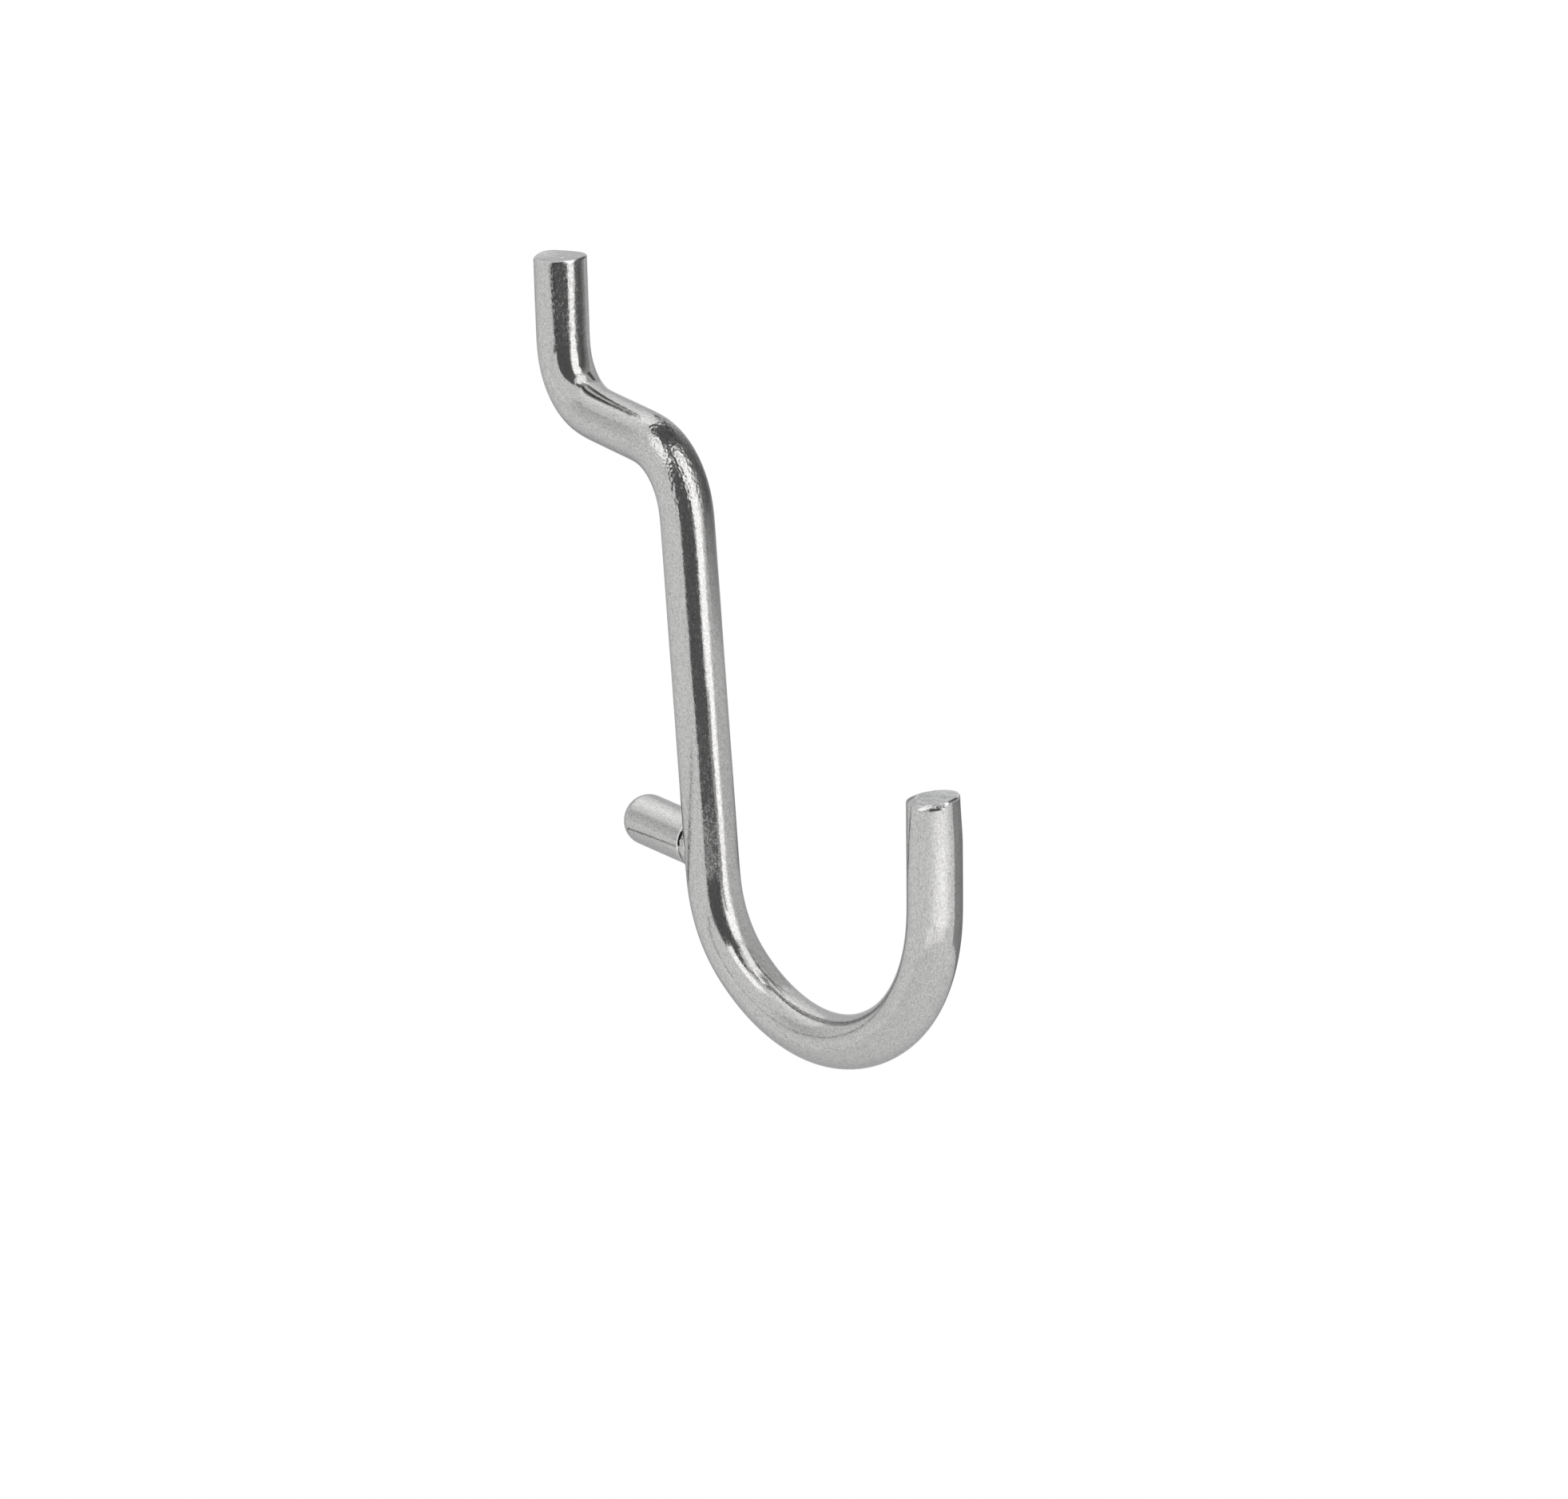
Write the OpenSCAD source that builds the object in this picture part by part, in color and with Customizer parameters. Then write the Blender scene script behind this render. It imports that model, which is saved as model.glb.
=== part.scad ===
// Pegboard J-hook with a welded lower peg.
//
// One length of round steel wire is bent into an upturned tip that stands behind the
// board, a crank that passes through the upper hole, a shank that runs down the front
// and a wide U that ends in an upright prong. A short straight peg is butt-welded to
// the back of the shank, where it enters the next hole down and stops the hook swinging.
//
// Frame: the wire lies in the plane x = 0, +Z is up as the hook hangs, the open mouth of
// the hook is towards -Y and the board is behind it, towards +Y. The origin is the
// middle of the crank, which is the centre of the upper hole.

/* [Board] */
// Distance from the upper hole down to the lower hole
hole_pitch = 25.4; // [20:0.1:38]

/* [Wire] */
// Diameter of the hook wire
wire_d = 3.43; // [2.8:0.01:4.2]
// How much a bend would thin the wire if its radius were the wire's own
bend_thinning = 0.04; // [0.02:0.01:0.1]

/* [Tip] */
// Straight length of the tip above its bend
tip_len = 5.55; // [3:0.05:12]
// Lean of the tip, top away from the board, in degrees
tip_lean = 2.9; // [0:0.1:8]
// Inside radius of the bend between tip and crank
tip_bend_r = 2.35; // [1.5:0.05:6]
// Angle by which the tip's end is sheared out of square, low side towards -X
tip_cut = 4.3; // [0:0.1:12]

/* [Crank] */
// Straight length of the crank between its two bends
crank_len = 5.75; // [4:0.05:12]
// Slope of the crank, front end down, in degrees
crank_slope = 3.7; // [0:0.1:10]
// Inside radius of the bend between crank and shank
shank_bend_r = 3.05; // [1.5:0.05:6]

/* [Shank] */
// Lean of the shank, lower end forward, in degrees
shank_lean = 6.9; // [0:0.1:15]
// Straight wire left between the lower edge of the peg and the U
below_peg = 0.15; // [0.1:0.05:20]

/* [U bend] */
// Inside radius where the shank runs into the U
rear_r = 5.5; // [3:0.1:20]
// Angle that the rear part of the U turns through, in degrees
rear_turn = 48.5; // [20:0.5:70]
// Inside radius along the bottom of the U
bottom_r = 12.2; // [6:0.1:40]
// Angle that the bottom of the U turns through, in degrees
bottom_turn = 73; // [20:0.5:90]
// Inside radius where the U runs up into the prong
front_r = 9.1; // [3:0.1:30]

/* [Prong] */
// Straight length of the prong above the U
prong_len = 6.9; // [2:0.1:60]
// Lean of the prong, top towards the shank, in degrees
prong_lean = 1.2; // [-10:0.1:10]
// Angle by which the prong's end is sheared out of square
prong_cut = 6.4; // [0:0.1:12]
// Where that cut is lowest, turned from -X towards the board, in degrees
prong_cut_turn = 43; // [0:1:90]

/* [Lower peg] */
// Diameter of the peg
peg_d = 3.3; // [2.8:0.01:4.2]
// Length of the peg that stands out behind the back of the shank
peg_reach = 6.65; // [3:0.05:15]
// Radius of the rounding on the peg's free end
peg_nose_r = 1.35; // [0.1:0.05:1.4]
// Depth that the peg's flat root is sunk into the back of the shank
peg_sink = 0.36; // [0.1:0.02:0.8]
// How much the heat of the weld has swollen the root, on the radius
root_swell = 0.04; // [0.02:0.01:0.2]
// Length of the peg over which that swelling dies away
root_swell_len = 0.65; // [0.3:0.05:1.5]

/* [Weld] */
// How far the weld metal stops short of the edge of the peg's root
weld_inset = 0.06; // [0:0.01:0.3]
// How much further in it lies level with the middle of the wire
weld_slope = 0.3; // [0.1:0.05:0.5]

/* [Hidden] */
$fn = 96;

wire_r = wire_d / 2;
peg_r = peg_d / 2;

// Headings of the wire in the plane of the hook, in degrees: 0 is forward, 90 is up
tip_heading = tip_lean - 90;
crank_heading = -crank_slope;
shank_heading = shank_lean - 90;
prong_heading = 90 + prong_lean;

// Every bend turns from one heading to the next: plus is towards the wire's left
tip_turn = crank_heading - tip_heading;
shank_turn = shank_heading - crank_heading;
front_turn = prong_heading - shank_heading - rear_turn - bottom_turn;

// The peg is one hole pitch below the crank. Points are [forward, up].
function along(heading) = [cos(heading), sin(heading)];
function left_of(heading) = [-sin(heading), cos(heading)];
shank_bend_axis_r = shank_bend_r + wire_r;
shank_top = along(crank_heading) * crank_len / 2
    + shank_bend_axis_r * (left_of(shank_heading) - left_of(crank_heading));
peg_run = (-hole_pitch - shank_top[1]) / along(shank_heading)[1];
peg_root = shank_top + along(shank_heading) * peg_run;
shank_len = peg_run + peg_r + below_peg;

// Distances behind the shank's axis, measured level at the peg: the back of the shank,
// the peg's flat root and its free end
back_y = wire_r / cos(shank_lean);
root_y = back_y - peg_sink;
free_y = back_y + peg_reach;

// Spare length or angle that an end is cut from, and the size of the block that cuts it
end_spare = 1;
bend_spare = 4;
cut_block = 4 * wire_d;

// Each stretch of wire is drawn on its own axes, +Z along the wire and +X to its left,
// and carries the next stretch as its child.

// Turns the wire's axes to a heading at the middle of the crank
module set_out(heading) {
    rotate([0, -90, 90]) rotate([0, heading, 0]) children();
}

// Straight stretch
module straight(len) {
    cylinder(d = wire_d, h = len);
    translate([0, 0, len]) children();
}

// Block that removes everything past the end of a stretch
module past_end() {
    translate([-cut_block / 2, -cut_block / 2, 0]) cube(cut_block);
}

// Moves from one end of a bend to the other, round its centre on the left
module round_bend(axis_r, turn) {
    translate([axis_r, 0, 0]) rotate([0, turn, 0]) translate([-axis_r, 0, 0]) children();
}

// Bend of a given inside radius: a piece of ring, trimmed square where the next stretch
// begins so that the two meet face to face. Bending stretches the wire, so it is a hair
// thinner here than in the straights, and thinnest in the tightest bend.
module bend(inside_r, turn) {
    axis_r = inside_r + wire_r;
    bent_d = wire_d - bend_thinning * wire_r / axis_r;
    face = turn > 0 ? 0 : 180;
    rotate([0, 0, face]) {
        difference() {
            translate([axis_r, 0, 0]) rotate([90, 0, 180])
                rotate_extrude(angle = abs(turn) + bend_spare)
                    translate([axis_r, 0]) circle(d = bent_d);
            round_bend(axis_r, abs(turn)) past_end();
        }
        round_bend(axis_r, abs(turn)) rotate([0, 0, face]) children();
    }
}

// Straight stretch whose far end is sheared out of square: lowest towards a turn about
// the wire from its left
module sheared(len, tilt, low_side) {
    difference() {
        cylinder(d = wire_d, h = len + end_spare);
        translate([0, 0, len]) rotate([0, 0, low_side]) rotate([0, tilt, 0]) past_end();
    }
}

// The shank's straight stretch alone, which shapes the roots of the peg and the weld
module shank_core() {
    translate([0, -shank_top[0], shank_top[1]]) set_out(shank_heading) cylinder(d = wire_d, h = shank_len);
}

// Puts its children on the peg's axis, with +Z pointing back from the shank's axis
module on_peg() {
    translate([0, -peg_root[0], peg_root[1]]) rotate([-90, 0, 0]) children();
}

// Bent wire: drawn both ways from the middle of the crank
module hook_wire() {
    color("silver") {
        set_out(crank_heading) straight(crank_len / 2) bend(shank_bend_r, shank_turn)
            straight(shank_len) bend(rear_r, rear_turn) bend(bottom_r, bottom_turn)
            bend(front_r, front_turn) sheared(prong_len, prong_cut, 90 - prong_cut_turn);
        set_out(crank_heading + 180) straight(crank_len / 2) bend(tip_bend_r, -tip_turn)
            sheared(tip_len, tip_cut, 90);
    }
}

// Straight stub with a flat root, swollen by the weld and saddled into the shank, and
// a rounded nose
module lower_peg() {
    color("lightgray") difference() {
        on_peg() rotate_extrude() union() {
            polygon([[0, root_y], [peg_r + root_swell, root_y],
                [peg_r, root_y + root_swell_len], [0, root_y + root_swell_len]]);
            translate([0, root_y]) square([peg_r, free_y - root_y - peg_nose_r]);
            translate([0, root_y]) square([peg_r - peg_nose_r, free_y - root_y]);
            intersection() {
                translate([peg_r - peg_nose_r, free_y - peg_nose_r]) circle(r = peg_nose_r);
                translate([0, root_y]) square([peg_r, free_y - root_y]);
            }
        }
        shank_core();
    }
}

// Weld metal that fills the wedge between the peg's flat root and each flank of the wire
module weld() {
    root_r = min(peg_r, wire_r) - weld_inset;
    color("gray") difference() {
        on_peg() cylinder(r1 = root_r - weld_slope, r2 = root_r, h = root_y);
        shank_core();
    }
}

hook_wire();
lower_peg();
weld();
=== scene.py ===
import functools
import math

import bmesh
import bpy
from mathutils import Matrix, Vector, noise


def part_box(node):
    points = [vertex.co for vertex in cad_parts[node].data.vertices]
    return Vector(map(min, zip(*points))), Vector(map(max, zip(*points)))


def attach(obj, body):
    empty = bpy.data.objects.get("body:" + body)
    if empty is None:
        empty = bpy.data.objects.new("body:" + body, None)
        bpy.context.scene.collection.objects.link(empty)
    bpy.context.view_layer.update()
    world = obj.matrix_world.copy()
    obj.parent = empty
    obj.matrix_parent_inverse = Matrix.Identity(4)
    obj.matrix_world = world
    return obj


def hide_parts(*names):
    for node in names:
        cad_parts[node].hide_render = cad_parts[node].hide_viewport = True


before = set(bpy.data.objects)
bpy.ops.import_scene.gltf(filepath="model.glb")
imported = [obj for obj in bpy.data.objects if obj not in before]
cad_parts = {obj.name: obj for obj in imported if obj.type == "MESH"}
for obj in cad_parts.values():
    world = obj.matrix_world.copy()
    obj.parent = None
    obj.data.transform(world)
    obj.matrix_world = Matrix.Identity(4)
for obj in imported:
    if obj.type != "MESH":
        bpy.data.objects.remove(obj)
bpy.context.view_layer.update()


# ---- Hook wire ----
# One length of drawn low-carbon steel wire, sheared off at both ends, then bent cold
# over pins into the tip, the crank, the shank and the open U with its prong, and
# bright zinc plated in a barrel. Its sizes are in mm, and its finished mesh in metres.
MM = 0.001
WIRE_R = 1.715
# Where the axis starts, as (forward, up), and its heading there: 0 is forward, 90 is up
TIP_START = (-6.947, 9.579)
TIP_HEADING = -87.1
# Straight length, then the turn of the bend that ends it and the radius of its axis
WIRE_LEGS = (
    (5.55, 83.4, 4.065),
    (5.75, -79.4, 4.765),
    (22.99, 48.5, 7.215),
    (0.0, 73.0, 13.915),
    (0.0, 52.8, 10.815),
    (6.90, 0.0, 0.0),
)
WIRE_LENGTH = sum(leg + abs(math.radians(turn)) * bend_r for leg, turn, bend_r in WIRE_LEGS)


def drawn_line(s):
    """Axis of a wire of true arcs s mm from its upper end: forward, up and heading."""
    forward, up = TIP_START
    heading = math.radians(TIP_HEADING)
    for leg, turn, bend_r in WIRE_LEGS:
        run = s if turn == 0.0 else min(s, leg)
        forward += run * math.cos(heading)
        up += run * math.sin(heading)
        s -= run
        if s <= 0.0 or turn == 0.0:
            break
        side = math.copysign(bend_r, turn)
        part = min(s / bend_r, abs(math.radians(turn)))
        turned = heading + math.copysign(part, turn)
        forward += side * (math.sin(turned) - math.sin(heading))
        up -= side * (math.cos(turned) - math.cos(heading))
        heading = turned
        s -= part * bend_r
        if s <= 1e-9:
            break
    return forward, up, heading


# The wire's spring spreads the start and the end of a bend this far either way
EASE = 1.4
EASE_STEPS = [0.2 * k for k in range(-6, 7)]


@functools.lru_cache(maxsize=None)
def wire_line(s):
    """The same with every bend eased in and out, as a pin leaves it."""
    near = [drawn_line(s + step) for step in EASE_STEPS]
    weights = [math.cos(step / EASE * math.pi / 2.0) for step in EASE_STEPS]
    return [sum(w * n[k] for w, n in zip(weights, near)) / sum(weights) for k in range(3)]


def bend_wire(p):
    """Where a point of the straight wire goes: p is across (+X), left of the heading, along."""
    forward, up, heading = wire_line(round(p.z, 4))
    forward -= p.y * math.sin(heading)
    up += p.y * math.cos(heading)
    return Vector((p.x, -forward, up))


def fade(x):
    """1 at 0, smoothly down to 0 at 1 and beyond."""
    x = min(max(x, 0.0), 1.0)
    return 1.0 - x * x * (3.0 - 2.0 * x)


def between(x, low, high, edge):
    """1 from low to high, fading to 0 over an edge outside both."""
    return fade((low - x) / edge) * fade((x - high) / edge)


def lumps(p, size, seed):
    """Smooth noise of -1 to 1 with lumps of about that size, in mm."""
    return noise.noise(p / size + Vector((seed, 2.0 * seed, -seed)))


def rounded_end(depth, radius):
    """How far a rounded edge of that radius has drawn in, at that depth from the end."""
    depth = min(max(depth, 0.0), radius)
    return radius - math.sqrt(depth * (2.0 * radius - depth))


# Rings close together where the ends are rounded over, and evenly spaced between
END_RINGS = (0.0, 0.008, 0.025, 0.05, 0.085, 0.13, 0.18, 0.24, 0.31, 0.38, 0.46, 0.56, 0.68, 0.82)
EVEN_GAP = 0.22
even_length = WIRE_LENGTH - 2.0 * END_RINGS[-1]
ring_count = round(even_length / EVEN_GAP)
wire = bmesh.new()
straight = wire.verts.layers.float_vector.new("straight")
marks = wire.verts.layers.float_vector.new("marks")
bmesh.ops.create_circle(wire, cap_ends=False, radius=WIRE_R, segments=128)
first_ring = wire.edges[:]


def draw_out(ring, gap, steps=1):
    """Draws the wire on from its last ring of edges, and gives the new last ring."""
    made = bmesh.ops.spin(
        wire, geom=ring, axis=(0, 0, 1), cent=(0, 0, 0), dvec=(0.0, 0.0, gap), angle=0.0, steps=steps
    )
    return [part for part in made["geom_last"] if isinstance(part, bmesh.types.BMEdge)]


last_ring = first_ring
for near, far in zip(END_RINGS, END_RINGS[1:]):
    last_ring = draw_out(last_ring, far - near)
last_ring = draw_out(last_ring, even_length / ring_count, ring_count)
for near, far in zip(END_RINGS[-2::-1], END_RINGS[::-1]):
    last_ring = draw_out(last_ring, far - near)

FACE_RINGS = 14
FACE_GAP = 0.1
for ring in (first_ring, last_ring):
    face = bmesh.ops.contextual_create(wire, geom=ring)["faces"]
    for _ in range(FACE_RINGS):
        bmesh.ops.inset_individual(wire, faces=face, thickness=FACE_GAP, use_even_offset=True)
    bmesh.ops.poke(wire, faces=face)
bmesh.ops.recalc_face_normals(wire, faces=wire.faces)

OUT_OF_ROUND = 0.006
# The inside of the second tight bend is pinched by its pin, so far along the wire
PINCH, PINCH_DEPTH, PINCH_HALF = 20.2, 0.05, 0.8
# How deep the shear's pull reaches, how far out its marks start as a part of the radius,
# and how close to the end a point counts as on the sheared face
SHEAR_REACH = 3.0
RIM = 0.9
ON_FACE = 0.01
# How far torn metal is sunk, and how far a burr stands out
TEAR_SUNK, BURR_PROUD = 0.06, 0.05
# Directions round the wire, as (across, left of the heading): right and front of the tip
# and of the prong, for someone at the front left
TIP_RIGHT = Vector((0.82, 0.57))
TIP_FRONT = Vector((-0.57, 0.82))
PRONG_RIGHT = Vector((0.82, -0.57))
PRONG_FRONT = Vector((-0.57, -0.82))
# The tip is sheared out of square and drawn out, most at the back, with a dent in its
# face. Its rim is rounded by the tumbling, by so much more on the left.
TIP_CUT = math.tan(math.radians(2.0))
TIP_DRAWN = 0.05
TIP_LIP = 0.17
TIP_DENT, TIP_DENT_AT, TIP_DENT_R = 0.05, Vector((0.1, 0.45)), 0.3
TIP_ROUNDING, TIP_LEFT_ROUNDING = 0.06, 0.08
# The prong is sheared lowest on this side, from its back towards -X. Its right side is
# rolled in and rounded more. Its face has a step: how far left, how bowed and how deep.
PRONG_CUT = math.tan(math.radians(7.4))
PRONG_LOW_SIDE = math.radians(47.0)
PRONG_ROLL = 0.14
PRONG_ROUNDING, PRONG_RIGHT_ROUNDING = 0.05, 0.10
STEP_LEFT, STEP_BOW, STEP_DEPTH = 0.98, 0.3, 0.06
# Marks on the rims, each from, to and its soft edge: in degrees round from the front
# towards the right, then in mm below the face. Tears are sunk and darkened with
# painted shade, and the glint is a painted highlight
TIP_TEAR = (-8.0, 10.0, 5.0), (0.03, 0.05, 0.04)
TIP_RIGHT_TEAR = (46.0, 72.0, 8.0), (0.0, 0.03, 0.04)
TIP_GLINT = (11.0, 32.0, 4.0), (0.0, 0.08, 0.04)
PRONG_RIGHT_TEAR = (32.0, 62.0, 6.0), (0.0, 0.03, 0.04)
# The burr's torn stretch, and the slanting flake and the bead of metal that lie on it.
# A mm along the rim is about 36 degrees.
BURR = (-24.0, 20.0, 12.0)
FLAKE_AT, FLAKE_SPAN, FLAKE_HALF = -21.0, 15.0, 0.11
FLAKE_DEPTH, FLAKE_SLANT = 0.146, 0.105
# Under the flake, a groove darkened with painted shade
UNDER_FLAKE = (-34.0, -4.0, 3.0)
BEAD_AT, BEAD_DEPTH, BEAD_R = 25.0, 0.05, 0.17
RIM_TURN = 36.0


def mark_at(turned, depth, around, down):
    """1 on a mark of the rim and 0 away from it."""
    return between(turned, *around) * between(depth, *down)


for vert in wire.verts:
    p = vert.co.copy()
    out = Vector((p.x, p.y))
    r = out.length
    way = out.normalized() if r > 1e-6 else Vector((1.0, 0.0))
    depth_tip = p.z
    depth_prong = WIRE_LENGTH - p.z
    groove = sheared = bright = 0.0
    # The drawn wire is never quite round or straight
    r += OUT_OF_ROUND * lumps(Vector((p.x, p.y, p.z / 3.0)), 1.3, 4.0) * r / WIRE_R
    pinched = max(0.0, -way.y) ** 12 * fade(abs(p.z - PINCH) / PINCH_HALF)
    r -= PINCH_DEPTH * pinched * r / WIRE_R
    if depth_tip < SHEAR_REACH:
        # Sheared tip: its rim is broken a little by the tumbling, with a fine line of
        # torn metal along the front and another on the right, sunk and darkened with painted
        # shade, and a painted highlight as a glint between them
        pull = fade(depth_tip / SHEAR_REACH)
        across, front = way.dot(TIP_RIGHT) * r, way.dot(TIP_FRONT) * r
        turned = math.degrees(math.atan2(across, front))
        if r > RIM * WIRE_R:
            groove = 0.8 * mark_at(turned, depth_tip, *TIP_TEAR)
            groove = max(groove, mark_at(turned, depth_tip, *TIP_RIGHT_TEAR))
            bright = mark_at(turned, depth_tip, *TIP_GLINT)
        rounding = TIP_ROUNDING + TIP_LEFT_ROUNDING * max(0.0, -way.dot(TIP_RIGHT)) ** 4
        r -= rounded_end(depth_tip, rounding) * r / WIRE_R
        p.z -= (TIP_DRAWN + p.x * TIP_CUT) * pull
        p.z -= TIP_LIP * max(0.0, -way.y) ** 4 * fade(depth_tip) * (r / WIRE_R) ** 2
        if depth_tip < ON_FACE:
            dent = fade((Vector((across, front)) - TIP_DENT_AT).length / TIP_DENT_R)
            p.z += TIP_DENT * dent + 0.015 * lumps(p, 0.4, 9.0)
            sheared = 0.25
    if depth_prong < SHEAR_REACH:
        # Sheared prong: a step down on the side where the blade bit, and along the front
        # of the rim a ragged burr that has folded over, with a bead and a flake on it. The
        # burr's tears, the groove under the flake and the step's edge are darkened with
        # painted shade, and the bead and the flake carry a painted highlight
        pull = fade(depth_prong / SHEAR_REACH)
        across, front = way.dot(PRONG_RIGHT) * r, way.dot(PRONG_FRONT) * r
        turned = math.degrees(math.atan2(across, front))
        ragged = 0.09 * lumps(Vector((turned / 12.0, 0.0, 0.0)), 0.8, 5.0)
        if r > RIM * WIRE_R:
            teeth = 0.35 + 1.4 * lumps(Vector((turned / 4.0, 3.0 * depth_prong, 0.0)), 0.6, 8.0)
            shaded_tear = mark_at(turned, depth_prong, BURR, (0.08, 0.24 + ragged, 0.05))
            groove = min(1.0, shaded_tear * max(0.0, teeth))
            groove = max(groove, mark_at(turned, depth_prong, *PRONG_RIGHT_TEAR))
            flake_way = (turned - FLAKE_AT) / FLAKE_SPAN
            flake_depth = FLAKE_DEPTH - FLAKE_SLANT * flake_way + 0.5 * ragged
            flake_half = FLAKE_HALF * math.sqrt(max(0.0, 1.0 - flake_way**2))
            below_flake = depth_prong - flake_depth - flake_half
            flake = fade((abs(depth_prong - flake_depth) - flake_half) / 0.03)
            flake *= fade(1.0 - flake_half / 0.02)
            under = between(turned, *UNDER_FLAKE) * fade(abs(below_flake - 0.05) / 0.05)
            groove = max(groove, 0.8 * under)
            bead_way = Vector(((turned - BEAD_AT) / RIM_TURN, depth_prong - BEAD_DEPTH))
            bead = fade(bead_way.length / BEAD_R - 0.35)
            bright = max(flake, bead)
            groove *= 1.0 - bright
        rounding = PRONG_ROUNDING + PRONG_RIGHT_ROUNDING * max(0.0, way.dot(PRONG_RIGHT)) ** 4
        r -= rounded_end(depth_prong, rounding) * r / WIRE_R
        r -= PRONG_ROLL * max(0.0, way.dot(PRONG_RIGHT)) ** 3 * pull * r / WIRE_R
        r += BURR_PROUD * bright - TEAR_SUNK * groove
        low = way.y * math.cos(PRONG_LOW_SIDE) - way.x * math.sin(PRONG_LOW_SIDE)
        p.z -= r * low * PRONG_CUT * pull
        if depth_prong < ON_FACE:
            left_step = fade((across + STEP_LEFT + STEP_BOW * (front / WIRE_R) ** 2) / 0.1)
            p.z += -STEP_DEPTH * left_step * (1.0 - 0.4 * across) + 0.02 * lumps(p, 0.5, 7.0)
            # A line of painted shade along the edge of the step
            groove = max(groove, 2.0 * left_step * (1.0 - left_step))
            sheared = 1.0
    p.x, p.y = way.x * r, way.y * r
    vert[straight] = p
    vert[marks] = (groove, sheared, bright)
    vert.co = bend_wire(p)
bmesh.ops.scale(wire, vec=(MM, MM, MM), verts=wire.verts)


class Tone:
    """One socket of a material's nodes. Arithmetic on it adds Math nodes."""

    def __init__(self, tree, socket=None):
        self.tree = tree
        self.socket = socket

    def node(self, kind, settings=None, inputs=None, output=0):
        """Adds a node: its settings first, then the values or links of its sockets."""
        made = self.tree.nodes.new(kind)
        for name, value in (settings or {}).items():
            setattr(made, name, value)
        for key, value in (inputs or {}).items():
            if isinstance(value, Tone):
                self.tree.links.new(value.socket, made.inputs[key])
            else:
                made.inputs[key].default_value = value
        return Tone(self.tree, made.outputs[output] if made.outputs else None)

    def math(self, operation, *terms):
        """A Math node on these numbers or tones."""
        return self.node("ShaderNodeMath", {"operation": operation}, dict(enumerate(terms)))

    def __add__(self, other):
        return self.math("ADD", self, other)

    def __sub__(self, other):
        return self.math("SUBTRACT", self, other)

    def __rsub__(self, other):
        return self.math("SUBTRACT", other, self)

    def __mul__(self, other):
        return self.math("MULTIPLY", self, other)

    def __abs__(self):
        return self.math("ABSOLUTE", self)

    __radd__ = __add__
    __rmul__ = __mul__

    def rise(self, low, high):
        """0 at low, 1 at high and smooth between."""
        ends = {"From Min": low, "From Max": high}
        return self.node(
            "ShaderNodeMapRange", {"interpolation_type": "SMOOTHSTEP"}, {"Value": self, **ends}
        )

    def part(self, axis):
        """One of a place's three measures: X, Y or Z."""
        return self.node("ShaderNodeSeparateXYZ", {}, {"Vector": self}, output=axis)

    def stretched(self, x, y, z):
        """A place with each of its three measures multiplied."""
        return self.node(
            "ShaderNodeVectorMath", {"operation": "MULTIPLY"}, {0: self, 1: (x, y, z)}
        )

    def grain(self, scale, detail=2.0, roughness=0.5):
        """Noise of 0 to 1 at this place, with that many waves per unit."""
        look = {"Scale": scale, "Detail": detail, "Roughness": roughness}
        return self.node("ShaderNodeTexNoise", {}, {"Vector": self, **look})

    def blend(self, first, second):
        """A colour that goes from the first to the second as this value goes from 0 to 1."""
        # A Mix node's colours are its sockets 6 and 7, and its result is output 2
        ends = {"Factor": self, 6: first, 7: second}
        return self.node("ShaderNodeMix", {"data_type": "RGBA"}, ends, output=2)


# Zinc reflects less at a glancing angle than a perfect mirror
ZINC_EDGE = (0.6, 0.605, 0.61, 1.0)


def new_finish(name, metallic=1.0):
    """A new material, the start of its node expressions, and its shader."""
    material = bpy.data.materials.new(name)
    material.use_nodes = True
    tree = material.node_tree
    shader = tree.nodes["Principled BSDF"]
    shader.inputs["Metallic"].default_value = metallic
    if metallic:
        shader.inputs["Specular Tint"].default_value = ZINC_EDGE
    return material, Tone(tree), shader


def layer(start, name):
    """What the shaping of the mesh wrote in that layer of its vertices."""
    return start.node("ShaderNodeAttribute", {"attribute_name": name}, output="Vector")


def feed(shader, socket, tone):
    """Lets a tone drive one of a shader's sockets."""
    tone.tree.links.new(tone.socket, shader.inputs[socket])


def feed_bump(shader, height, lift):
    """Raises the surface by lift, in mm, where the height is 1."""
    relief = {"Strength": 1.0, "Distance": lift * MM, "Height": height}
    feed(shader, "Normal", height.node("ShaderNodeBump", {}, relief))


# The plating's greys, its least roughness, and how high its bumps are in mm
ZINC_DARK = (0.395, 0.39, 0.385, 1.0)
ZINC_PALE = (0.62, 0.617, 0.615, 1.0)
DASH_DARK = (0.28, 0.275, 0.27, 1.0)
CELL_DARK = (0.12, 0.12, 0.13, 1.0)
PLATE_ROUGH = 0.085
PLATE_LIFT = 0.02


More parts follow.
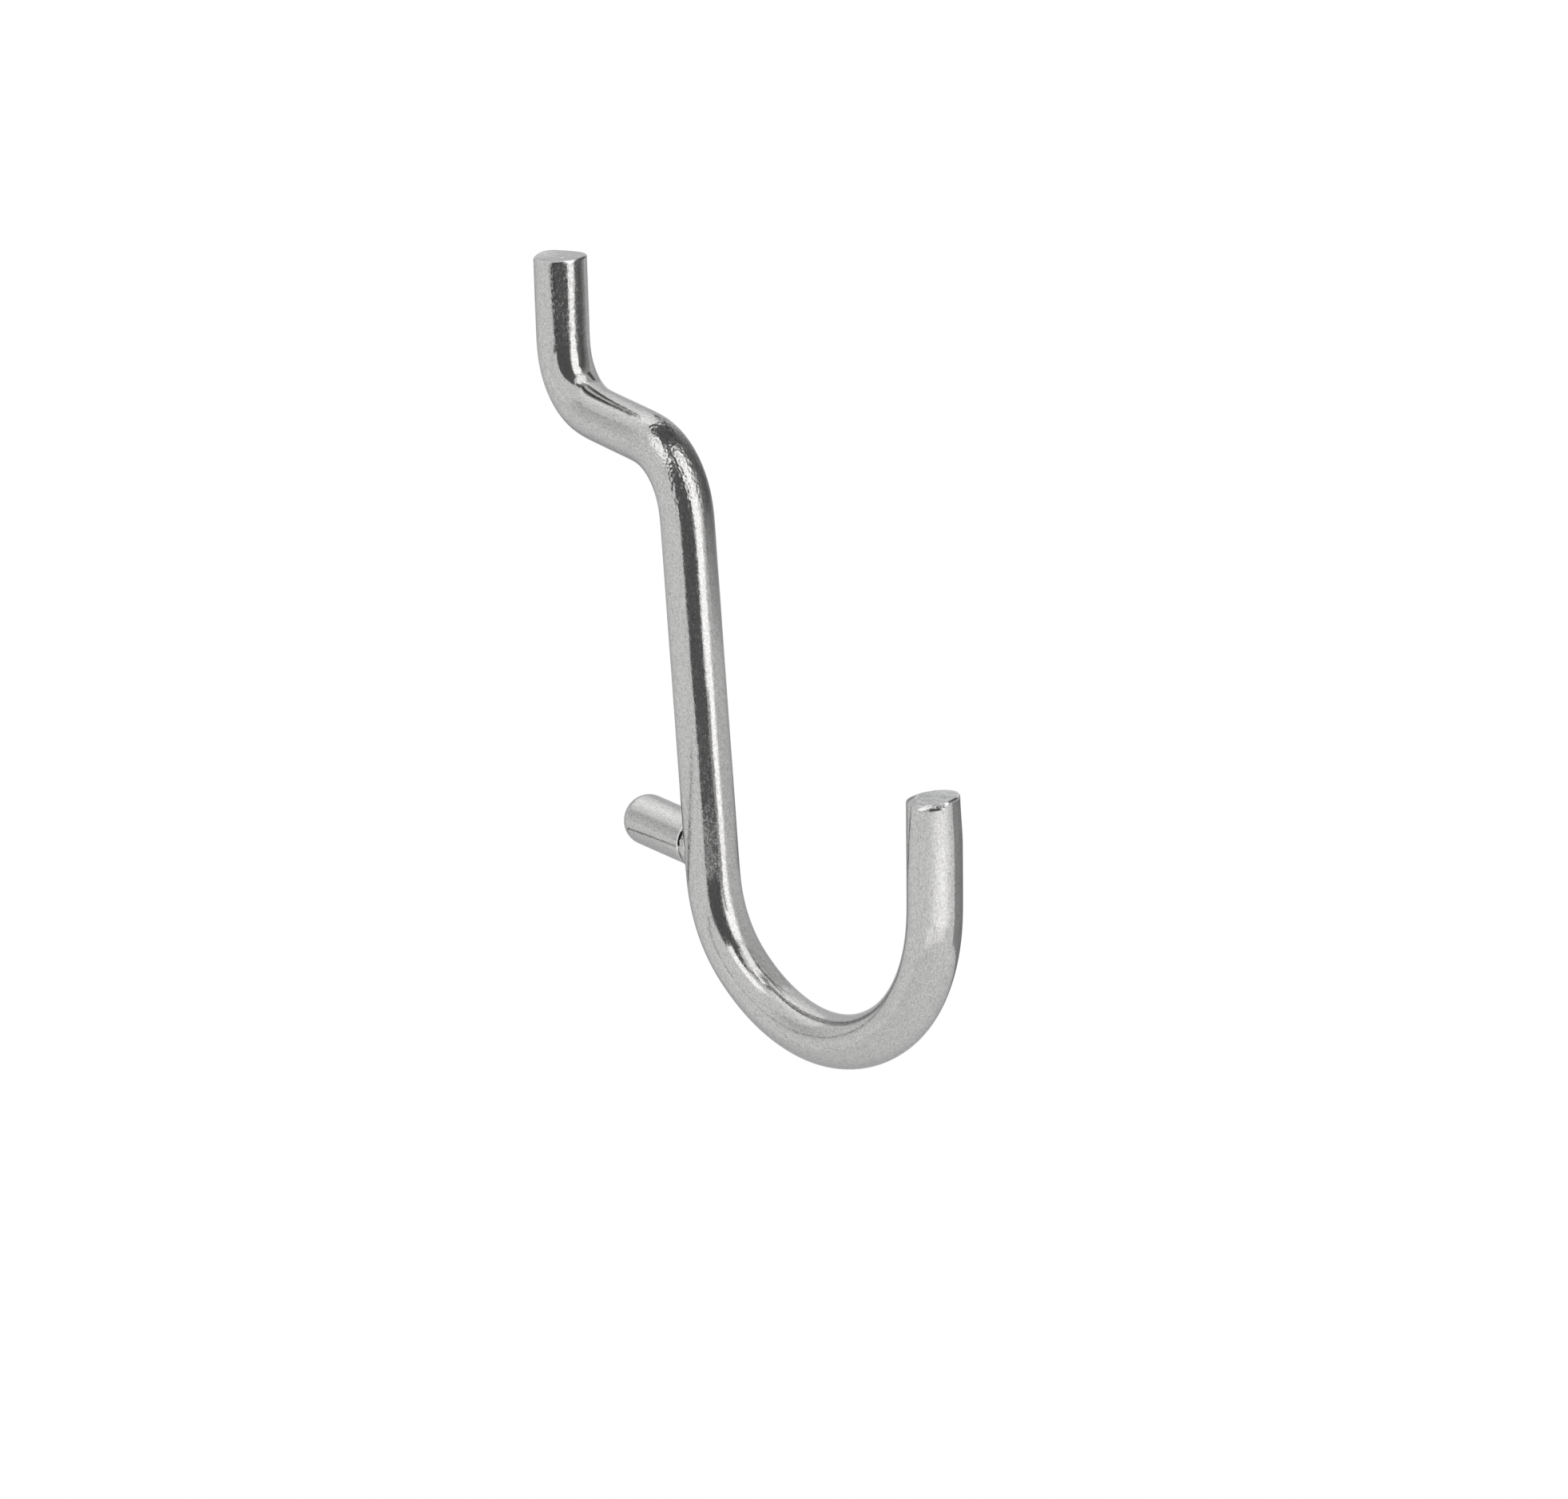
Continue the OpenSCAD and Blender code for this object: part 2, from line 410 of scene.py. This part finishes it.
def zinc_skin(place, coarse, worn, waves):
    """Barrel plated zinc: colour, roughness and bump height from a place in mm. Coarse
    brings out the orange peel of a sharp bend, whose dark cells are partly a painted
    dark reflection, worn the pits and drawing lines, and waves are long swells that
    join the bumps."""
    blotch = place.stretched(0.9, 0.9, 0.3).grain(0.6, 3.0).rise(0.35, 0.65)
    grit = place.stretched(1.0, 1.0, 0.7).grain(12.0, 2.0, 0.6).rise(0.25, 0.75)
    dash = place.stretched(1.0, 1.0, 0.28).grain(9.0, 2.0, 0.6).rise(0.54, 0.68)
    drawn = place.stretched(1.0, 1.0, 0.25).grain(6.5, 3.0, 0.55)
    dull = place.stretched(1.0, 1.0, 0.5).grain(8.5, 3.0, 0.65).rise(0.42, 0.74)
    cells = place.node("ShaderNodeTexVoronoi", {}, {"Vector": place, "Scale": 5.4})
    colour = grit.blend(ZINC_DARK, ZINC_PALE)
    colour = (dash * 0.4).blend(colour, DASH_DARK)
    # Dark cells on the coarse plating: partly its orange peel, partly a painted dark reflection
    colour = (cells.rise(0.4, 0.15) * coarse * 0.15).blend(colour, CELL_DARK)
    rough = PLATE_ROUGH + 0.02 * blotch + 0.19 * dull * worn + 0.04 * coarse
    height = (drawn * 0.32 + dull * 0.1) * worn + cells * coarse * 1.15 + waves
    return colour, rough, height


# Freshly sheared steel, from dull to bright, whose bright grey is also the painted
# highlight on a glint, a bead and a flake, and the painted shade of a tear's groove
SHEARED_DULL = (0.60, 0.60, 0.60, 1.0)
SHEARED_BRIGHT = (0.97, 0.97, 0.97, 1.0)
TEAR_PAINTED_SHADE = (0.03, 0.03, 0.032, 1.0)
# How far along the wire the two tight bends are
FIRST_BEND_AT = 10.0
SECOND_BEND_AT = 20.4

wire_zinc, start, shader = new_finish("wire_zinc")
place = layer(start, "straight")
left = place.part("Y")
along = place.part("Z")
# The outside of the second bend is coarse, as stretched plating is. The wear goes down
# along the shank and again in the prong, and the inside of the first bend has least.
coarse = (1.0 - abs(along - SECOND_BEND_AT).rise(1.6, 4.0)) * left.rise(-0.6, 0.8)
down_shank = along.rise(12.0, 30.0)
up_prong = along.rise(WIRE_LENGTH - 16.0, WIRE_LENGTH - 8.0)
smooth = (1.0 - abs(along - FIRST_BEND_AT).rise(3.6, 5.0)) * left.rise(0.2, 1.0)
worn = (1.1 - 0.45 * down_shank - 0.45 * up_prong) * (1.0 - 0.85 * smooth)
waves = place.stretched(0.5, 0.5, 0.22).grain(1.0, 1.0) * 1.6
colour, rough, height = zinc_skin(place, coarse, worn, waves)
mark = layer(start, "marks")
shaded_tear = mark.part("X")
fresh = mark.part("Y")
painted_glint = mark.part("Z")
face = place.grain(9.0, 4.0, 0.75).rise(0.35, 0.65)
colour = fresh.blend(colour, face.blend(SHEARED_DULL, SHEARED_BRIGHT))
# Painted highlight on the tip's glint and on the prong's bead and flake
colour = painted_glint.blend(colour, SHEARED_BRIGHT)
# Painted shade in the tears, under the flake and along the step on the prong's face
colour = (shaded_tear * 0.85).blend(colour, TEAR_PAINTED_SHADE)
feed(shader, "Base Color", colour)
feed(shader, "Roughness", rough + 0.15 * fresh + 0.3 * painted_glint + 0.25 * shaded_tear)
feed_bump(shader, height, PLATE_LIFT)


def make_piece(name, shape, finish):
    """Turns a finished bmesh in metres into a piece that stands for the CAD node of that name."""
    mesh = bpy.data.meshes.new(name)
    for face in shape.faces:
        face.smooth = True
    shape.to_mesh(mesh)
    shape.free()
    piece = bpy.data.objects.new(name + "_visual", mesh)
    bpy.context.scene.collection.objects.link(piece)
    mesh.materials.append(finish)
    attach(piece, "root")
    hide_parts(name)


make_piece("hook_wire", wire, wire_zinc)


# ---- Lower peg ----
# A short straight stub of steel rod, tumbled round at its free end. Its flat root is
# butt welded to the back of the shank, and the heat has left a crisp swollen rim.
PEG_R = 1.65
PEG_ROOT_R = 1.69
PEG_NOSE_R = 1.35
PEG_RIM_R = 0.10
PEG_SWELL_FROM = 0.65
peg_low, peg_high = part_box("lower_peg")
peg_length = (peg_high.y - peg_low.y) / MM
peg_axis = (peg_low.z + peg_high.z) / 2.0

peg = bmesh.new()
profile = [
    (0.0, peg_length), (PEG_R, peg_length),
    (PEG_R, PEG_SWELL_FROM), (PEG_ROOT_R, 0.0), (0.0, 0.0),
]
corners = [peg.verts.new((r, 0.0, z)) for r, z in profile]
for near, far in zip(corners, corners[1:]):
    peg.edges.new((near, far))
bevel_style = {"affect": "VERTICES", "profile": 0.5, "material": -1}
bmesh.ops.bevel(peg, geom=[corners[1]], offset=PEG_NOSE_R, segments=16, **bevel_style)
bmesh.ops.bevel(peg, geom=[corners[3]], offset=PEG_RIM_R, segments=6, **bevel_style)
bmesh.ops.spin(
    peg, geom=peg.verts[:] + peg.edges[:], axis=(0, 0, 1), cent=(0, 0, 0),
    angle=math.tau, steps=96, use_merge=True,
)
bmesh.ops.remove_doubles(peg, verts=peg.verts, dist=0.0001)
bmesh.ops.recalc_face_normals(peg, faces=peg.faces)
for vert in peg.verts:
    x, y, z = vert.co
    vert.co = Vector((x, z, -y)) * MM + Vector((0.0, peg_low.y, peg_axis))

# A painted highlight for the upper half of the peg's root rim, and near black painted shade for the
# slit, nick and seam at the weld
PAINTED_RIM_HIGHLIGHT = (0.85, 0.85, 0.85, 1.0)
PAINTED_SLIT_SHADE = (0.02, 0.02, 0.02, 1.0)


def place_in_mm(start):
    """The place on a piece in mm, from the frame's origin."""
    return start.node("ShaderNodeTexCoord", {}, output="Object").stretched(1.0 / MM, 1.0 / MM, 1.0 / MM)


peg_zinc, start, shader = new_finish("peg_zinc")
place = place_in_mm(start)
# Turned upright, so that the drawing lines run along the peg
upright = {"Vector": place, "Rotation": (math.pi / 2, 0.0, 0.0)}
turned = place.node("ShaderNodeMapping", {}, upright)
waves = turned.stretched(0.5, 0.5, 0.3).grain(1.0, 1.0)
colour, rough, height = zinc_skin(turned, 0.0, 0.25, waves)
# Painted highlight on the upper rim, and painted shade on the root's face above the middle, inside the
# slit
root_y = peg_low.y / MM
axis_z = peg_axis / MM
back = place.part("Y")
up = place.part("Z")
rim_highlight = back.rise(root_y + 0.12, root_y + 0.07) * up.rise(axis_z - 0.5, axis_z + 0.1)
slit_shade = back.rise(root_y + 0.035, root_y + 0.012)
slit_shade = slit_shade * up.rise(axis_z - 0.05, axis_z + 0.1) * up.rise(axis_z + 1.0, axis_z + 0.85)
colour = rim_highlight.blend(colour, PAINTED_RIM_HIGHLIGHT)
feed(shader, "Base Color", (slit_shade * 0.95).blend(colour, PAINTED_SLIT_SHADE))
feed(shader, "Roughness", rough + 0.03 + 0.25 * rim_highlight)
feed_bump(shader, height, PLATE_LIFT)
make_piece("lower_peg", peg, peg_zinc)


# ---- Weld ----
# Metal squeezed out of the resistance weld between the peg's flat root and the round
# back of the wire. It fills the wedge unevenly and leaves a narrow slit open above.
WELD_R = 1.61
WELD_DEPTH = 1.0
WELD_STANDS_OUT = 0.03
SLIT_DEPTH, NICK_DEPTH, SEAM_DEPTH = 0.55, 0.3, 0.16
# Each from, to and its soft edge: in degrees from +X over the top, then in mm in from
# the peg's root
SLIT = (148.0, 172.0, 9.0), (-0.1, 0.09, 0.08)
NICK = (140.0, 158.0, 6.0), (0.24, 0.30, 0.06)
SEAM = (186.0, 228.0, 8.0), (-0.1, 0.02, 0.05)

weld_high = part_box("weld")[1]
weld = bmesh.new()
marks = weld.verts.layers.float_vector.new("marks")
bmesh.ops.create_cone(
    weld, cap_ends=True, segments=160, radius1=WELD_R, radius2=WELD_R, depth=WELD_DEPTH
)
long_edges = [edge for edge in weld.edges if edge.verts[0].co.z * edge.verts[1].co.z < 0.0]
bmesh.ops.subdivide_edges(weld, edges=long_edges, cuts=24, use_grid_fill=True)
for vert in weld.verts:
    angle = math.degrees(math.atan2(vert.co.y, vert.co.x)) % 360.0
    from_root = WELD_DEPTH / 2.0 - vert.co.z - WELD_STANDS_OUT
    spot = Vector((math.radians(angle) * WELD_R, 0.0, from_root))
    ridge = 0.07 * lumps(spot, 0.22, 3.0) + 0.03 * lumps(spot, 0.1, 6.0)
    slit, nick, seam = [mark_at(angle, from_root, *where) for where in (SLIT, NICK, SEAM)]
    open_by = SLIT_DEPTH * slit + NICK_DEPTH * nick + SEAM_DEPTH * seam
    scale = 1.0 - (open_by - ridge * fade(0.1 - from_root)) / WELD_R
    across, up = vert.co.x * scale, vert.co.y * scale
    # Painted shade in the slit, the nick and the seam
    vert[marks] = (max(slit, nick, 0.6 * seam), 0.0, 0.0)
    vert.co = Vector((across, -from_root, up)) * MM + Vector((0.0, weld_high.y, peg_axis))
bmesh.ops.recalc_face_normals(weld, faces=weld.faces)

WELD_PALE = (0.66, 0.655, 0.65, 1.0)
WELD_DIRTY = (0.44, 0.435, 0.43, 1.0)

weld_zinc, start, shader = new_finish("weld_zinc")
place = place_in_mm(start)
ridges = place.stretched(1.0, 3.0, 1.0).grain(4.0, 4.0, 0.6)
dirt = place.grain(2.5, 3.0).rise(0.45, 0.7)
# Painted shade, near black, where the slit, nick and seam are open
slit_shade = layer(start, "marks").part("X")
colour = dirt.blend(WELD_PALE, WELD_DIRTY)
feed(shader, "Base Color", (slit_shade * 0.95).blend(colour, PAINTED_SLIT_SHADE))
feed(shader, "Roughness", 0.32 + 0.14 * dirt)
feed_bump(shader, ridges, 0.06)
make_piece("weld", weld, weld_zinc)


# ---- Studio ----
# A plain pale floor well below the hook, white all round, a tall soft lamp in front and
# a small one overhead. Bright metal shows what stands round it, so pale and dark cards
# that only reflections see stand in for the rest of the room.
CENTRE = Vector((0.0, -0.017861, -0.016985))


def towards(azimuth, elevation):
    """Unit vector from the hook: azimuth from +Y (the board's side) towards +X, in degrees."""
    azimuth, elevation = math.radians(azimuth), math.radians(elevation)
    flat = math.cos(elevation)
    return Vector((math.sin(azimuth) * flat, math.cos(azimuth) * flat, math.sin(elevation)))


def staged(name, shape, finish):
    """Puts a finished bmesh round the hook as part of the studio."""
    mesh = bpy.data.meshes.new(name)
    shape.to_mesh(mesh)
    shape.free()
    thing = bpy.data.objects.new(name, mesh)
    mesh.materials.append(finish)
    bpy.context.scene.collection.objects.link(thing)
    return thing


def glow(name, shape, grey, foot=0.0, left=0.0, right=0.0, one_side=False):
    """Makes a card shine with a grey that rises by so much towards its foot and its left
    and right sides. Only reflections see it."""
    material = bpy.data.materials.new(name)
    material.use_nodes = True
    material.node_tree.nodes.clear()
    start = Tone(material.node_tree)
    shine = (grey, grey, grey, 1.0)
    if foot or left or right:
        spread = layer(start, "spread")
        across = spread.part("X")
        shine = grey + foot * (1.0 - spread.part("Y"))
        shine = shine + left * (1.0 - across.rise(0.0, 0.5)) + right * across.rise(0.5, 1.0)
    light = start.node("ShaderNodeEmission", {}, {"Color": shine})
    if one_side:
        behind = start.node("ShaderNodeNewGeometry", {}, output="Backfacing")
        clear = start.node("ShaderNodeBsdfTransparent")
        light = start.node("ShaderNodeMixShader", {}, {0: behind, 1: light, 2: clear})
    start.node("ShaderNodeOutputMaterial", {}, {"Surface": light})
    thing = staged(name, shape, material)
    thing.visible_camera = False
    thing.visible_diffuse = False
    thing.visible_shadow = False


def card_grid():
    """A flat grid, and its layer of how far across and up each vertex is, from 0 to 1."""
    shape = bmesh.new()
    bmesh.ops.create_grid(shape, x_segments=16, y_segments=16, size=1.0)
    spread = shape.verts.layers.float_vector.new("spread")
    for vert in shape.verts:
        vert[spread] = (vert.co + Vector((1.0, 1.0, 0.0))) / 2.0
    return shape, spread


def inside(corners, spot):
    """The place that far across and up between corners, from low left round to high left."""
    low_left, low_right, high_right, high_left = [Vector(corner) for corner in corners]
    return low_left.lerp(low_right, spot.x).lerp(high_left.lerp(high_right, spot.x), spot.y)


def card(name, corners, grey, distance=0.7, middle=CENTRE, **rises):
    """A curved card round a middle, with its corners at (azimuth, elevation)."""
    shape, spread = card_grid()
    for vert in shape.verts:
        vert.co = Vector(middle) + towards(*inside(corners, vert[spread])) * distance
    glow(name, shape, grey, **rises)


def flap(name, corners, height, slope, grey, facing):
    """A small flat card close to the hook, corners at (x, y) and height in mm, rising towards
    the front by the slope. Facing 1 is seen from above only, -1 from below only."""
    shape, spread = card_grid()
    for vert in shape.verts:
        flat = inside(corners, vert[spread])
        vert.co = Vector((flat.x, flat.y, height - flat.y * slope)) * MM
    shape.normal_update()
    if shape.faces[:][0].normal.z * facing < 0.0:
        bmesh.ops.reverse_faces(shape, faces=shape.faces)
    glow(name, shape, grey, one_side=True)


# In front: the dark side of the room, and what only the tip, a bend or the prong sees there
card("camera_side_card", ((-178, -16), (-122, -16), (-88, 58), (-159, 60)), 0.14)
flap("tip_side_card", ((-52, -30), (-9, 0.6), (-38, -1.2), (-58, -6)), 2.0, 0.0, 0.1, 1)
flap("bend_dark_card", ((-2.6, -7.7), (4.5, -7.7), (4.5, -2.6), (-2.6, -2.6)), 4.1, 0.28, 0.12, -1)
flap(
    "bend_bright_card", ((-4.6, -7.6), (-9.5, -10.5), (-9.5, -3.2), (-2.9, -3.2)),
    4.1, 0.28, 1.8, -1,
)
card(
    "prong_card", ((-232, -24), (-112, -24), (-112, -11), (-232, -11)), 1.58,
    distance=0.1, middle=(0, -0.0335, -0.022), left=-0.6, right=-0.55,
)

# Overhead and behind
card("overhead_left_card", ((-160, 58), (-88, 53), (-62, 68), (-150, 78)), 0.15)
card("overhead_back_card", ((-62, 68), (2, 62), (4, 76), (-62, 76)), 0.15)
card("narrow_card", ((2, -12), (5, -12), (7, 26), (3, 26)), 0.3)
BY_THE_BEND = {"distance": 0.019, "middle": (0, -0.004, 0.002)}
card("inner_bend_card", ((38, 20), (63, 32), (63, 52), (38, 30)), 0.14, **BY_THE_BEND)
card(
    "back_high_card", ((-34, 22), (42, 20), (34, 62), (-26, 62)), 1.62,
    foot=-0.2, left=-0.45, right=-0.3,
)
card("back_top_card", ((4, 58), (43, 54), (46, 80), (4, 80)), 1.6)

# Left and right
flap("left_window", ((-16, -15), (-10, -16.5), (-7.5, -8.5), (-14, -8)), -17.0, 0.0, 1.8, -1)
card(
    "left_haze_card", ((-58, -6), (-12, -6), (-12, 27), (-50, 29)), 0.64,
    distance=0.71, foot=0.25, left=0.3, right=0.2,
)
card(
    "upper_right_card", ((62, -12), (150, -12), (132, 62), (60, 62)), 0.14,
    left=0.3, right=0.1, **BY_THE_BEND,
)
card(
    "upper_right_foot", ((62, -60), (150, -60), (150, -12), (62, -12)), 0.12,
    foot=0.6, left=0.35, right=0.1, **BY_THE_BEND,
)
card("far_right_card", ((50, -17), (151, -17), (130, 62), (50, 62)), 0.62, distance=0.72, foot=0.2)
card("low_right_card", ((48, -34), (130, -34), (128, -11.5), (46, -16)), 0.42)

# The floor round the hook, and the far edge of the table
card("floor_right_card", ((0, -70), (130, -70), (130, -18), (5, -18)), 0.7, distance=0.75)
card(
    "floor_front_card", ((-190, -34), (-110, -34), (-116, -16.5), (-184, -16.5)), 1.4,
    distance=0.72, foot=-0.2,
)
BY_THE_U = {"distance": 0.035, "middle": (0, -0.02, -0.03)}
card("table_edge_left", ((-80, 8.2), (-45, -2.6), (-45, -0.9), (-80, 10)), 0.35, **BY_THE_U)
card("table_edge_right", ((-45, -2.6), (-6, -10.5), (-6, -9), (-45, -0.9)), 0.1, **BY_THE_U)


def lamp(name, azimuth, elevation, width, height, strength):
    """A soft lamp aimed at the hook, so many degrees wide and high as seen from it. Its
    power is the strength times pi for each square metre."""
    distance = 0.8
    light = bpy.data.lights.new(name, "AREA")
    light.shape = "RECTANGLE"
    light.size = 2.0 * distance * math.tan(math.radians(width / 2.0))
    light.size_y = 2.0 * distance * math.tan(math.radians(height / 2.0))
    light.energy = strength * math.pi * light.size * light.size_y
    thing = bpy.data.objects.new(name, light)
    way = towards(azimuth, elevation)
    thing.location = CENTRE + way * distance
    thing.rotation_euler = way.to_track_quat("Z", "Y").to_euler()
    bpy.context.scene.collection.objects.link(thing)
    thing.visible_camera = False


lamp("front_lamp", 168.0, 30.0, 34.0, 82.0, 0.85)
lamp("top_lamp", 60.0, 82.0, 32.0, 32.0, 0.6)


def seen_by_metal(start):
    """1 for rays from the camera and for those that metal or glass sends on, else 0."""
    camera, glossy, clear = [
        start.node("ShaderNodeLightPath", output=kind)
        for kind in ("Is Camera Ray", "Is Glossy Ray", "Is Transmission Ray")
    ]
    return (camera + glossy + clear).rise(0.0, 1.0)


FLOOR_R = 0.4
FLOOR_AT = (0.0, -0.02, -0.25)
FLOOR_DARK = (0.78, 0.78, 0.78, 1.0)
FLOOR_PALE = (0.80, 0.80, 0.80, 1.0)
floor_shape = bmesh.new()
bmesh.ops.create_circle(floor_shape, cap_ends=True, radius=FLOOR_R, segments=96)
bmesh.ops.translate(floor_shape, vec=FLOOR_AT, verts=floor_shape.verts)
floor_paint, start, shader = new_finish("floor_paint", metallic=0.0)
mottle = start.node("ShaderNodeTexCoord", {}, output="Object").grain(9.0, 3.0)
feed(shader, "Base Color", mottle.blend(FLOOR_DARK, FLOOR_PALE))
shader.inputs["Roughness"].default_value = 0.9
shader.inputs["Emission Strength"].default_value = 1.0
feed(shader, "Emission Color", seen_by_metal(start) * 0.2)
staged("floor", floor_shape, floor_paint)

# White all round, and a little softer as light on the floor than as seen
world = bpy.data.worlds.new("studio_white")
world.use_nodes = True
background = world.node_tree.nodes["Background"]
background.inputs["Color"].default_value = (1.0, 1.0, 1.0, 1.0)
feed(background, "Strength", 0.8 + 0.2 * seen_by_metal(Tone(world.node_tree)))
scene = bpy.context.scene
scene.world = world

# A long lens from the front left, a little above
VIEW_AZIMUTH = -144.937
VIEW_ELEVATION = 16.873
VIEW_DISTANCE = 0.44583
camera_data = bpy.data.cameras.new("camera")
camera_data.lens = 165.05
camera_data.sensor_width = 36.0
camera_data.clip_start = 0.01
camera = bpy.data.objects.new("camera", camera_data)
view_way = towards(VIEW_AZIMUTH, VIEW_ELEVATION)
camera.location = CENTRE + view_way * VIEW_DISTANCE
camera.rotation_euler = view_way.to_track_quat("Z", "Y").to_euler()
scene.collection.objects.link(camera)
scene.camera = camera
scene.view_settings.view_transform = "Standard"
